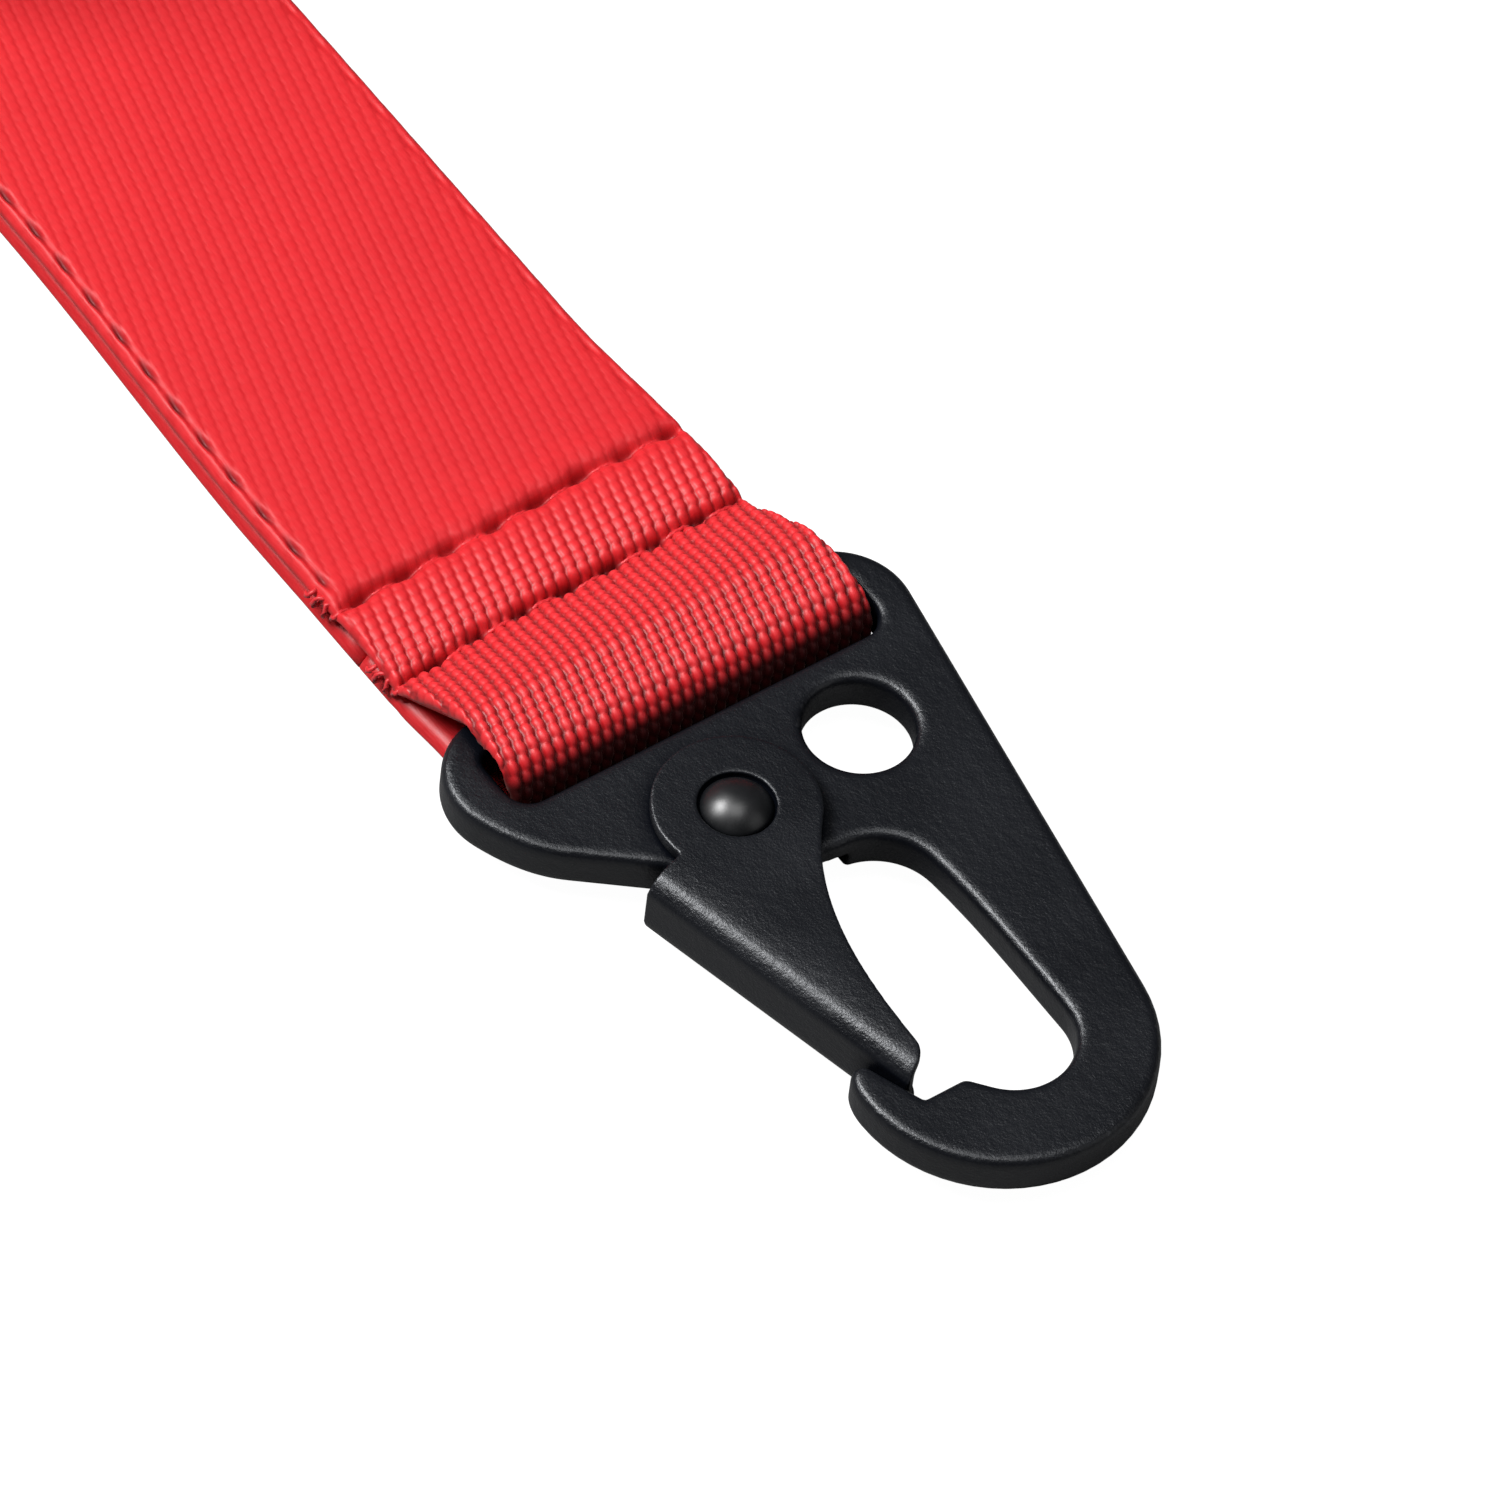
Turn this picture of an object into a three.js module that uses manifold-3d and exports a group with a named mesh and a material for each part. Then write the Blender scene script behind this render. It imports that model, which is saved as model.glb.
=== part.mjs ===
// Lanyard: a flat webbing strap folded round the rear bar of a stamped snap hook.
// Millimetres, +Z up. The design is drawn with the gate rivet's axis at X = Y = 0 and with the
// surface that it lies on at Z = 0. +X runs towards the hook's tip. At the end everything is
// moved so that the middle of its footprint is the origin.
import * as THREE from 'three';
import * as BufferGeometryUtils from 'three/addons/utils/BufferGeometryUtils.js';
import Module from 'manifold-3d';

const wasm = await Module();
wasm.setup();

// Webbing strap: two halves of one webbing lie on each other, and their fold passes the slot
const webWidth = 25;
const webThickness = 1.4;
const layerGap = 0.12;
const strapLength = 450;
const barClearance = 0.3;
const riseLength = 5.45;
const webMidY = 2.55;
const swayDegrees = 0.6;
const swayStart = -8;
const swayEase = 4;

// Hook plate
const plateThickness = 2.9;
const plateFillet = 0.6;
const slotFrontX = -7;
const slotWidth = 4.4;
const slotFrontCorner = 1.5;
const slotRearCorner = 0.7;
const slotGapRight = 0.45;
const slotGapLeft = 0.95;
const webSlotGap = 0.55;
const rearBarWidth = 2.65;
const lobeRadius = 4.8;
const lobeWallRight = 3.1;
const lobeWallLeft = 2.75;
const flankDegrees = 51;
const flankLength = 5.7;
const tipX = 20.9;
const tipY = 3.9;
const tipRadius = 9.55;
const bossRadius = 5.6;
const holeX = -1.65;
const holeY = 10.1;
const holeRadius = 3.36;
const openingLeftX = 5.05;
const openingRightX = 25.2;
const openingTopY = 8.1;
const openingRise = 0.25;
const openingLeftRadius = 4;
const openingRightRadius = 3.9;
const throatX = 22.5;
const throatRadius = 0.7;
const throatDegrees = 40;
const noseTipX = 18.6;
const noseRadius = 0.75;
const noseDegrees = 22;
const noseGateGap = 0.12;

// Gate lever: a folded channel that straddles the plate, with its web on the outside
const leafThickness = 0.9;
const leafGap = 0.12;
const gateLobeRadius = 5.1;
const gateLobeDegrees = 48;
const webFaceDistance = 8;
const webDegrees = 14.3;
const webStart = 0;
const foldRadius = 1.3;
const foldInnerRadius = 0.4;
const notchDegrees = -76;
const gateInnerY = -1;
const gateEndX = 20.24;
const gateEndDegrees = -59;
const gateEndRadius = 1.5;

// Rivet
const shankRadius = 1.5;
const bearingClearance = 0.09;
const headRadius = 2.2;
const headHeight = 1.3;
const headSeatDepth = 0.5;
const headSeatClearance = 0.15;
const tailRadius = 2.4;
const tailHeight = 0.5;
const axialPlay = 0.04;

// Torsion spring and the pocket under the plate that holds it
const pocketRadius = 5.3;
const pocketDepth = 1.5;
const pocketTopY = 4.7;
const springWire = 0.45;
const springRadius = 2.35;
const springGap = 0.1;
const springLegGap = 0.3;
const springLegReach = 11.5;
const springLegBend = 9;
const springAnchorX = 4;

// Stitching
const threadDiameter = 0.36;
const threadLift = 0.06;
const threadGap = 0.06;
const stitchPitch = 3.15;
const grooveWidth = 1.3;
const grooveDepth = 0.5;
const frontSeamBehindRise = 0.6;
const seamSpacing = 6.3;
const seamMargin = 1;
const edgeRowInset = 0.65;
const edgeRowGap = 1.6;
const edgeRowLength = 43.4;

// Roll of the length that is put away
const rollX = -104;
const rollCore = 3.5;
const turnGap = 0.06;
const rollChamfer = 0.5;
const rollGap = 0.3;

// Heights and places that follow from the sizes above
const radians = THREE.MathUtils.degToRad;
const plateBottom = webThickness + barClearance;
const plateTop = plateBottom + plateThickness;
const plateMiddle = (plateBottom + plateTop) / 2;
const gateBottom = plateBottom - leafGap - leafThickness;
const gateTop = plateTop + leafGap + leafThickness;
const loopRadius = plateThickness / 2 + barClearance + webThickness / 2;
const loopX = slotFrontX - webSlotGap - webThickness / 2 - loopRadius;
const slotRearX = slotFrontX - slotWidth;
const plateRearX = slotRearX - rearBarWidth;
const slotRightY = webMidY - webWidth / 2 - slotGapRight;
const slotLeftY = webMidY + webWidth / 2 + slotGapLeft;
const lobeX = plateRearX + lobeRadius;
const rightLobeY = slotRightY - lobeWallRight + lobeRadius;
const leftLobeY = slotLeftY + lobeWallLeft - lobeRadius;
const strapHeight = 2 * webThickness + layerGap;
const flatX = plateRearX - riseLength;
const frontSeamX = flatX - frontSeamBehindRise;
const rearSeamX = frontSeamX - seamSpacing;
const rolledLength = strapLength - (slotFrontX - webSlotGap - rollX);
const rollPitch = strapHeight + turnGap;
const rollRadius = strapHeight / 2 + Math.sqrt((rolledLength * rollPitch) / Math.PI + rollCore ** 2);
const rollRise = rollRadius - strapHeight;
const strapEndX = rollX + Math.sqrt(rollRadius ** 2 - rollRise ** 2) + rollGap;
const along = new THREE.Vector2(Math.cos(radians(webDegrees)), Math.sin(radians(webDegrees)));
const outward = new THREE.Vector2(along.y, -along.x);

// ---- outlines and solids ---------------------------------------------------------------------

const at = (x, y) => new THREE.Vector2(x, y);

const toward = (degrees) => at(Math.cos(radians(degrees)), Math.sin(radians(degrees)));

const move = (point, direction, distance) => point.clone().addScaledVector(direction, distance);

function arc(centre, radius, fromDegrees, toDegrees) {
  const stepDegrees = radius > 2 ? 6 : 15;
  const steps = Math.max(3, Math.ceil(Math.abs(toDegrees - fromDegrees) / stepDegrees));
  return Array.from({ length: steps + 1 }, (_, i) => {
    const turned = fromDegrees + ((toDegrees - fromDegrees) * i) / steps;
    return move(centre, toward(turned), radius);
  });
}

const ring = (centre, radius) => arc(centre, radius, 0, 360);

function bend(start, pull, endPull, end) {
  const steps = 14;
  return new THREE.CubicBezierCurve(start, pull, endPull, end).getPoints(steps);
}

// Joins stretches of an outline, and leaves out the points that repeat where two of them meet.
function outline(...stretches) {
  const nearest = 0.02;
  const points = [];
  for (const point of stretches.flat()) {
    if (points.length === 0 || points.at(-1).distanceTo(point) > nearest) points.push(point);
  }
  if (points[0].distanceTo(points.at(-1)) <= nearest) points.pop();
  return points;
}

function prism(points, low, high, holes = [], fillet = 0) {
  const shape = new THREE.Shape(outline(points));
  shape.holes = holes.map((hole) => new THREE.Path(outline(hole)));
  const geometry = new THREE.ExtrudeGeometry(shape, {
    depth: high - low - 2 * fillet,
    bevelEnabled: fillet > 0,
    bevelThickness: fillet,
    bevelSize: fillet,
    bevelOffset: -fillet,
    bevelSegments: 3,
  });
  return geometry.translate(0, 0, low + fillet);
}

// A strip of even thickness whose middle follows the points.
function ribbon(middle, thickness) {
  const sides = [-1, 1].map((side) => middle.map((point, i) => {
    const before = middle[Math.max(i - 1, 0)];
    const after = middle[Math.min(i + 1, middle.length - 1)];
    const run = after.clone().sub(before).normalize();
    return move(point, at(-run.y, run.x), (side * thickness) / 2);
  }));
  return [...sides[0], ...sides[1].reverse()];
}

function solid(geometry) {
  const bare = geometry.clone();
  bare.deleteAttribute('normal');
  bare.deleteAttribute('uv');
  const merged = BufferGeometryUtils.mergeVertices(bare, 1e-4);
  return new wasm.Manifold(new wasm.Mesh({
    numProp: 3,
    vertProperties: new Float32Array(merged.attributes.position.array),
    triVerts: new Uint32Array(merged.index.array),
  }));
}

function surface(body) {
  const mesh = body.getMesh();
  const geometry = new THREE.BufferGeometry();
  geometry.setAttribute('position', new THREE.BufferAttribute(new Float32Array(mesh.vertProperties), 3));
  geometry.setIndex(new THREE.BufferAttribute(new Uint32Array(mesh.triVerts), 1));
  geometry.computeVertexNormals();
  return geometry;
}

function tube(points, diameter, sides, steps) {
  const section = new THREE.Shape(outline(Array.from(
    { length: sides },
    (_, i) => toward((360 * (i + 0.5)) / sides).multiplyScalar(diameter / 2),
  )));
  const extrudePath = new THREE.CatmullRomCurve3(points);
  return new THREE.ExtrudeGeometry(section, { steps, bevelEnabled: false, extrudePath });
}

// ---- hook plate ------------------------------------------------------------------------------

// The corner of the gate's end that comes nearest to the nose.
function gateEndCorner() {
  const edge = toward(gateEndDegrees);
  const start = at(gateEndX, gateInnerY);
  const distance = (webFaceDistance - start.dot(outward)) / edge.dot(outward);
  return move(start, edge, distance);
}

// The nose: round the tip from below, then along the face that the gate closes against.
function noseOutline() {
  const face = toward(noseDegrees);
  const faceNormal = toward(noseDegrees + 90);
  const nearGate = move(gateEndCorner(), faceNormal, -noseGateGap);
  const faceAt = (x) => move(nearGate, face, (x - nearGate.x) / face.x);
  const centre = move(faceAt(noseTipX + noseRadius), at(0, -1), noseRadius / face.x);
  const tipBottom = at(tipX, tipY - tipRadius);
  const underDegrees = 235;
  const under = move(centre, toward(underDegrees), noseRadius);
  return [
    ...bend(tipBottom, move(tipBottom, at(-1, 0), 0.9), move(under, toward(underDegrees + 90), 0.5), under),
    ...arc(centre, noseRadius, underDegrees, noseDegrees + 90),
    faceAt(throatX),
  ];
}

// The opening's edge, from the throat round the far end and back along the top to the boss.
function openingOutline() {
  const rightTopY = openingTopY + openingRise;
  const right = at(openingRightX - openingRightRadius, rightTopY - openingRightRadius);
  const left = at(openingLeftX + openingLeftRadius, openingTopY - openingLeftRadius);
  const ramp = toward(throatDegrees);
  const rampTop = move(right, toward(throatDegrees - 90), openingRightRadius);
  const corner = move(rampTop, ramp, (throatX - rampTop.x) / ramp.x);
  const setback = throatRadius * Math.tan(radians((90 - throatDegrees) / 2));
  const crownPull = 4;
  const leftTopDegrees = 96;
  const leftTop = move(left, toward(leftTopDegrees), openingLeftRadius);
  return [
    ...arc(at(throatX + throatRadius, corner.y - setback), throatRadius, 180, throatDegrees + 90),
    ...arc(right, openingRightRadius, throatDegrees - 90, 90),
    ...bend(
      at(right.x, rightTopY),
      at(right.x - crownPull, rightTopY),
      move(leftTop, toward(leftTopDegrees - 90), crownPull),
      leftTop,
    ),
    ...arc(left, openingLeftRadius, leftTopDegrees, 180),
  ];
}

function plateOutline() {
  const lobe = at(lobeX, leftLobeY);
  const tip = at(tipX, tipY);
  const between = tip.clone().sub(lobe);
  const slope = Math.atan2(between.y, between.x) + Math.asin((tipRadius - lobeRadius) / between.length());
  const longEdgeDegrees = THREE.MathUtils.radToDeg(slope) + 90;
  const bossStartDegrees = 30;
  const bossEndDegrees = -80;
  const flank = toward(flankDegrees);
  const flankTop = move(at(0, 0), toward(bossEndDegrees), bossRadius);
  const flankEnd = move(flankTop, flank, -flankLength);
  const lobeStartDegrees = -70;
  const rightLobe = at(lobeX, rightLobeY);
  const lobeStart = move(rightLobe, toward(lobeStartDegrees), lobeRadius);
  const flankPull = move(flankEnd, flank, -2);
  const lobePull = move(lobeStart, toward(lobeStartDegrees + 90), 2.2);
  return [
    ...arc(lobe, lobeRadius, 180, longEdgeDegrees),
    ...arc(tip, tipRadius, longEdgeDegrees, -90),
    ...noseOutline(),
    ...openingOutline(),
    ...arc(at(0, 0), bossRadius, bossStartDegrees, bossEndDegrees),
    ...bend(flankEnd, flankPull, lobePull, lobeStart),
    ...arc(rightLobe, lobeRadius, lobeStartDegrees, -180),
  ];
}

// The slot's rear corners are sharper, so that the bar is of even width wherever the strap turns on it.
function slotOutline() {
  const rear = (y, side) => at(slotRearX + slotRearCorner, y - side * slotRearCorner);
  const front = (y, side) => at(slotFrontX - slotFrontCorner, y - side * slotFrontCorner);
  return [
    ...arc(rear(slotRightY, -1), slotRearCorner, 180, 270),
    ...arc(front(slotRightY, -1), slotFrontCorner, 270, 360),
    ...arc(front(slotLeftY, 1), slotFrontCorner, 0, 90),
    ...arc(rear(slotLeftY, 1), slotRearCorner, 90, 180),
  ];
}

// The pocket is open on the side of the gate's web and of the hook's opening.
function pocketOutline() {
  const startDegrees = THREE.MathUtils.radToDeg(Math.asin(pocketTopY / pocketRadius));
  const endDegrees = 280;
  const clearOfBoss = bossRadius + 2;
  return [
    ...arc(at(0, 0), pocketRadius, startDegrees, endDegrees),
    move(at(0, 0), toward(endDegrees), clearOfBoss),
    at(clearOfBoss, -clearOfBoss),
    at(clearOfBoss, pocketTopY),
  ];
}

function rivetHole(radius, low, high) {
  return solid(prism(ring(at(0, 0), radius), low, high));
}

function makePlate() {
  const holes = [slotOutline(), ring(at(holeX, holeY), holeRadius)];
  const blank = solid(prism(plateOutline(), plateBottom, plateTop, holes, plateFillet));
  const pocket = solid(prism(pocketOutline(), plateBottom - 1, plateBottom + pocketDepth));
  const bore = rivetHole(shankRadius + bearingClearance, plateBottom - 1, plateTop + 1);
  return surface(blank.subtract(pocket).subtract(bore));
}

// ---- gate lever ------------------------------------------------------------------------------

function gateOutline() {
  const centre = at(0, 0);
  const lobeEnd = move(centre, toward(gateLobeDegrees), gateLobeRadius);
  const notch = move(centre, toward(notchDegrees), gateLobeRadius);
  const webEnd = move(move(centre, along, webStart), outward, webFaceDistance);
  const beyondWeb = 1.3;
  const corner = at(gateEndX, gateInnerY);
  const setback = gateEndRadius * Math.tan(radians(-gateEndDegrees / 2));
  const endCentre = at(gateEndX - setback, gateInnerY - gateEndRadius);
  const endTop = at(endCentre.x, gateInnerY);
  return [
    ...arc(centre, gateLobeRadius, gateLobeDegrees, notchDegrees + 360),
    notch.clone().lerp(webEnd, beyondWeb),
    move(corner, toward(gateEndDegrees), 3.2),
    ...arc(endCentre, gateEndRadius, 90 + gateEndDegrees, 90),
    ...bend(endTop, move(endTop, at(-1, 0), 8.5), move(lobeEnd, toward(gateLobeDegrees - 90), 4.2), lobeEnd),
  ];
}

// The folded section, drawn across the web: x runs inward from the web's outer face, y is up.
function channel() {
  const depth = webFaceDistance + gateLobeRadius + 1;
  const low = gateBottom;
  const high = gateTop;
  const innerLow = low + leafThickness;
  const innerHigh = high - leafThickness;
  const innerX = leafThickness + foldInnerRadius;
  const section = [
    at(depth, low),
    ...arc(at(foldRadius, low + foldRadius), foldRadius, 270, 180),
    ...arc(at(foldRadius, high - foldRadius), foldRadius, 180, 90),
    at(depth, high),
    at(depth, innerHigh),
    ...arc(at(innerX, innerHigh - foldInnerRadius), foldInnerRadius, 90, 180),
    ...arc(at(innerX, innerLow + foldInnerRadius), foldInnerRadius, 180, 270),
    at(depth, innerLow),
  ];
  const behindPivot = -(gateLobeRadius + 2);
  const start = move(move(at(0, 0), outward, webFaceDistance), along, behindPivot);
  const place = new THREE.Matrix4().makeBasis(
    new THREE.Vector3(-outward.x, -outward.y, 0),
    new THREE.Vector3(0, 0, 1),
    new THREE.Vector3(along.x, along.y, 0),
  );
  place.setPosition(start.x, start.y, 0);
  return solid(prism(section, 0, gateEndX - behindPivot + 4).applyMatrix4(place));
}

function makeGate() {
  const plan = solid(prism(gateOutline(), gateBottom - 1, gateTop + 1));
  const bore = rivetHole(shankRadius + bearingClearance, gateBottom - 1, gateTop + 1);
  const headSeat = rivetHole(headRadius + headSeatClearance, gateTop - headSeatDepth, gateTop + 1);
  return surface(channel().intersect(plan).subtract(bore).subtract(headSeat));
}

// ---- rivet and spring ------------------------------------------------------------------------

function makeRivet() {
  const seat = gateTop - headSeatDepth + axialPlay;
  const tailTop = gateBottom - axialPlay;
  const tailBottom = tailTop - tailHeight;
  const tailChamfer = 0.2;
  const domeRadius = (headRadius ** 2 + headHeight ** 2) / (2 * headHeight);
  const domeSteps = 7;
  const dome = Array.from({ length: domeSteps }, (_, i) => {
    const radius = headRadius * (1 - i / domeSteps);
    return at(radius, seat + headHeight - domeRadius + Math.sqrt(domeRadius ** 2 - radius ** 2));
  });
  const profile = [
    at(0, tailBottom),
    at(tailRadius - tailChamfer, tailBottom),
    at(tailRadius, tailBottom + tailChamfer),
    at(tailRadius, tailTop),
    at(shankRadius, tailTop),
    at(shankRadius, seat),
    ...dome,
    at(0, seat + headHeight),
  ];
  return surface(solid(new THREE.LatheGeometry(profile, 40).rotateX(Math.PI / 2)));
}

// One end bears on the pocket's wall, the other on the inside of the gate's web.
function makeSpring() {
  const highZ = plateBottom + pocketDepth - springGap - springWire / 2;
  const lowZ = gateBottom + leafThickness + springGap + springWire / 2;
  const anchor = at(springAnchorX, pocketTopY - springGap - springWire / 2);
  const anchorDegrees = THREE.MathUtils.radToDeg(anchor.angle() + Math.acos(springRadius / anchor.length()));
  const endDegrees = webDegrees - 90 + 720;
  const legDistance = webFaceDistance - leafThickness - springLegGap - springWire / 2;
  const turnSteps = 36;
  const onLeg = (reach, distance) => {
    const point = move(move(at(0, 0), along, reach), outward, distance);
    return new THREE.Vector3(point.x, point.y, lowZ);
  };
  const coil = Array.from({ length: turnSteps + 1 }, (_, i) => {
    const share = i / turnSteps;
    const turned = toward(anchorDegrees + (endDegrees - anchorDegrees) * share).multiplyScalar(springRadius);
    return new THREE.Vector3(turned.x, turned.y, highZ + (lowZ - highZ) * share);
  });
  const halfAnchor = anchor.clone().add(toward(anchorDegrees).multiplyScalar(springRadius)).divideScalar(2);
  const path = [
    new THREE.Vector3(anchor.x, anchor.y, highZ),
    new THREE.Vector3(halfAnchor.x, halfAnchor.y, highZ),
    ...coil,
    onLeg(springLegBend / 2, (springRadius + legDistance) / 2),
    onLeg(springLegBend, legDistance),
    onLeg(springLegReach, legDistance),
  ];
  return tube(path, springWire, 6, 90);
}

// ---- strap -----------------------------------------------------------------------------------

// The strap leaves the slot squarely and then runs a little to one side of the hook's axis.
function sway(x, across) {
  const behind = Math.max(swayStart - x, 0);
  const angle = radians(swayDegrees) * Math.min(behind / swayEase, 1);
  const eased = behind < swayEase ? behind ** 2 / (2 * swayEase) : behind - swayEase / 2;
  const middle = webMidY - radians(swayDegrees) * eased;
  return at(x - Math.sin(angle) * across, middle + Math.cos(angle) * across);
}

function swayed(geometry) {
  const positions = geometry.attributes.position;
  for (let i = 0; i < positions.count; i += 1) {
    const point = sway(positions.getX(i), positions.getY(i));
    positions.setXY(i, point.x, point.y);
  }
  geometry.computeVertexNormals();
  return geometry;
}

// The strap's middle seen from the side: the upper half rises straight from its seam, turns over the
// bar, and the fold brings it back as the lower half.
function strapMiddle() {
  const lowZ = webThickness / 2;
  const highZ = strapHeight - webThickness / 2;
  const bar = at((plateRearX + slotRearX) / 2, plateMiddle);
  const flat = at(flatX, highZ);
  const toFlat = flat.clone().sub(bar);
  const touchAngle = toFlat.angle() - Math.acos(loopRadius / toFlat.length());
  return outline(
    [at(strapEndX, highZ), flat],
    arc(bar, loopRadius, THREE.MathUtils.radToDeg(touchAngle), 90),
    arc(at(loopX, plateMiddle), loopRadius, 90, -90),
    [at(strapEndX, lowZ)],
  );
}

function box(fromX, toX, fromY, toY, fromZ, toZ) {
  const geometry = new THREE.BoxGeometry(toX - fromX, Math.abs(toY - fromY), toZ - fromZ);
  return solid(geometry.translate((fromX + toX) / 2, (fromY + toY) / 2, (fromZ + toZ) / 2));
}

const seamXs = [frontSeamX, rearSeamX];
const edgeRowYs = [-1, 1].map((side) => side * (webWidth / 2 - edgeRowInset));
const edgeRowStart = rearSeamX - edgeRowGap;
const edgeRowEnd = edgeRowStart - edgeRowLength;

// The cross seams lie in shallow grooves, above and below, and the edge rows press the border thin.
function makeStrap() {
  const half = grooveWidth / 2;
  const faces = [[strapHeight - grooveDepth, strapHeight + 1], [-1, grooveDepth]];
  const section = prism(ribbon(strapMiddle(), webThickness), -webWidth / 2, webWidth / 2);
  let strap = solid(section.rotateX(Math.PI / 2));
  for (const [low, high] of faces) {
    for (const x of seamXs) {
      strap = strap.subtract(box(x - half, x + half, -webWidth, webWidth, low, high));
    }
    for (const side of [-1, 1]) {
      const inner = side * (webWidth / 2 - grooveWidth);
      strap = strap.subtract(box(edgeRowEnd - half, edgeRowStart + half, inner, side * webWidth, low, high));
    }
  }
  return swayed(surface(strap));
}

function makeRoll() {
  const half = webWidth / 2;
  const profile = [
    at(0, -half),
    at(rollRadius - rollChamfer, -half),
    at(rollRadius, rollChamfer - half),
    at(rollRadius, half - rollChamfer),
    at(rollRadius - rollChamfer, half),
    at(0, half),
  ];
  const geometry = new THREE.LatheGeometry(profile, 60);
  return surface(solid(geometry));
}

// ---- threads ---------------------------------------------------------------------------------

// A thread dips into the webbing at each stitch hole and stands up a little between two holes.
function thread(length, toPoint, side) {
  const stepsPerStitch = 4;
  const stitches = Math.round(length / stitchPitch);
  const steps = stitches * stepsPerStitch;
  const rest = grooveDepth - threadGap - threadDiameter / 2;
  const points = Array.from({ length: steps + 1 }, (_, i) => {
    const lift = threadLift * Math.abs(Math.sin((Math.PI * i) / stepsPerStitch));
    const depth = rest - lift;
    const height = side > 0 ? strapHeight - depth : depth;
    const place = toPoint((length * i) / steps);
    return new THREE.Vector3(place.x, place.y, height);
  });
  return tube(points, threadDiameter, 6, steps);
}

function crossThread(x, side) {
  const length = webWidth - 2 * seamMargin;
  return thread(length, (run) => sway(x, run - length / 2), side);
}

function edgeThread(y, side) {
  return thread(edgeRowLength, (run) => sway(edgeRowStart - run, y), side);
}

// ---- materials -------------------------------------------------------------------------------

function webbing() {
  return new THREE.MeshStandardMaterial({ color: 0xe23038, roughness: 0.85, metalness: 0 });
}

function sewingThread() {
  return new THREE.MeshStandardMaterial({ color: 0xd4222c, roughness: 0.7, metalness: 0 });
}

function coatedSteel() {
  return new THREE.MeshStandardMaterial({ color: 0x2b2d32, roughness: 0.5, metalness: 0.4 });
}

function rivetSteel() {
  return new THREE.MeshStandardMaterial({ color: 0x1d1f23, roughness: 0.25, metalness: 0.7 });
}

function springSteel() {
  return new THREE.MeshStandardMaterial({ color: 0x6f7277, roughness: 0.35, metalness: 1 });
}

// ---- assembly --------------------------------------------------------------------------------

const group = new THREE.Group();

function add(name, geometry, material) {
  const mesh = new THREE.Mesh(geometry, material);
  mesh.name = name;
  group.add(mesh);
  return mesh;
}

add('hook_plate', makePlate(), coatedSteel());
add('gate_lever', makeGate(), coatedSteel());
add('gate_rivet', makeRivet(), rivetSteel());
add('gate_spring', makeSpring(), springSteel());
add('strap_webbing', makeStrap(), webbing());

const roll = add('strap_roll', makeRoll(), webbing());
const rollPlace = sway(rollX, 0);
roll.position.set(rollPlace.x, rollPlace.y, rollRadius);
roll.rotation.z = radians(swayDegrees);

const threadSides = { needle_thread: 1, bobbin_thread: -1 };
for (const [threadName, side] of Object.entries(threadSides)) {
  add(`front_seam_${threadName}`, crossThread(frontSeamX, side), sewingThread());
  add(`rear_seam_${threadName}`, crossThread(rearSeamX, side), sewingThread());
  add(`right_edge_${threadName}`, edgeThread(edgeRowYs[0], side), sewingThread());
  add(`left_edge_${threadName}`, edgeThread(edgeRowYs[1], side), sewingThread());
}

const footprint = new THREE.Box3().setFromObject(group);
const middle = footprint.getCenter(new THREE.Vector3());
group.position.set(-middle.x, -middle.y, -footprint.min.z);

export default group;
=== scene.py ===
"""The looks of a webbing lanyard with a stamped snap hook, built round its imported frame.

Lengths are in metres in the frame, and MM turns a size in millimetres into one. The strap is
drawn straight, along X, and lean() then turns it the little that it runs to one side.
"""
import math

import bmesh
import bpy
import numpy as np
from mathutils import Matrix, Vector


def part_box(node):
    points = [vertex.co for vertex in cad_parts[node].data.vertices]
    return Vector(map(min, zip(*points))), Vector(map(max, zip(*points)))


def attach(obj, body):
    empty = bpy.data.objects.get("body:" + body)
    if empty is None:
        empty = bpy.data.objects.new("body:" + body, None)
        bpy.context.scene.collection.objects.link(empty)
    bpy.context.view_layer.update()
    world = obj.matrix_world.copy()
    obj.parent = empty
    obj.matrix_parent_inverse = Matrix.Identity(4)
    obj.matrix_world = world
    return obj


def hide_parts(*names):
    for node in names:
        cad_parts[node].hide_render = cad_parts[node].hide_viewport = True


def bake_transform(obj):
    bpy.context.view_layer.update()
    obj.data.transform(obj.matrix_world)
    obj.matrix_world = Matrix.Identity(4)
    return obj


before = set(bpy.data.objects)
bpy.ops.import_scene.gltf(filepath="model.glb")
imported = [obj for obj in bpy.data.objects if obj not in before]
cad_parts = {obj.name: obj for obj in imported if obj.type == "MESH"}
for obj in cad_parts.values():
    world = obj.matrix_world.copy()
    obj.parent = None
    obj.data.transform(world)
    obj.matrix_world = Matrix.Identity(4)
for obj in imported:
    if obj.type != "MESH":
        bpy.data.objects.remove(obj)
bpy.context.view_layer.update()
MM = 0.001

# Places and sizes from the frame
PLATE_LOW, PLATE_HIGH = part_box("hook_plate")
GATE_LOW, GATE_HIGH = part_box("gate_lever")
RIVET_LOW, RIVET_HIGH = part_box("gate_rivet")
STRAP_LOW, STRAP_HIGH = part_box("strap_webbing")
ROLL_LOW, ROLL_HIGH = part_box("strap_roll")
RIVET = (RIVET_LOW + RIVET_HIGH) / 2

# Camera, at the photograph's viewing angle
CAMERA_AIM = (-5.15 * MM, 4.96 * MM)
CAMERA_ELEVATION = 51.8
CAMERA_HEADING = 138.6
CAMERA_ROLL = 7.8
CAMERA_DISTANCE = 0.853
CAMERA_LENS = 348

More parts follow.
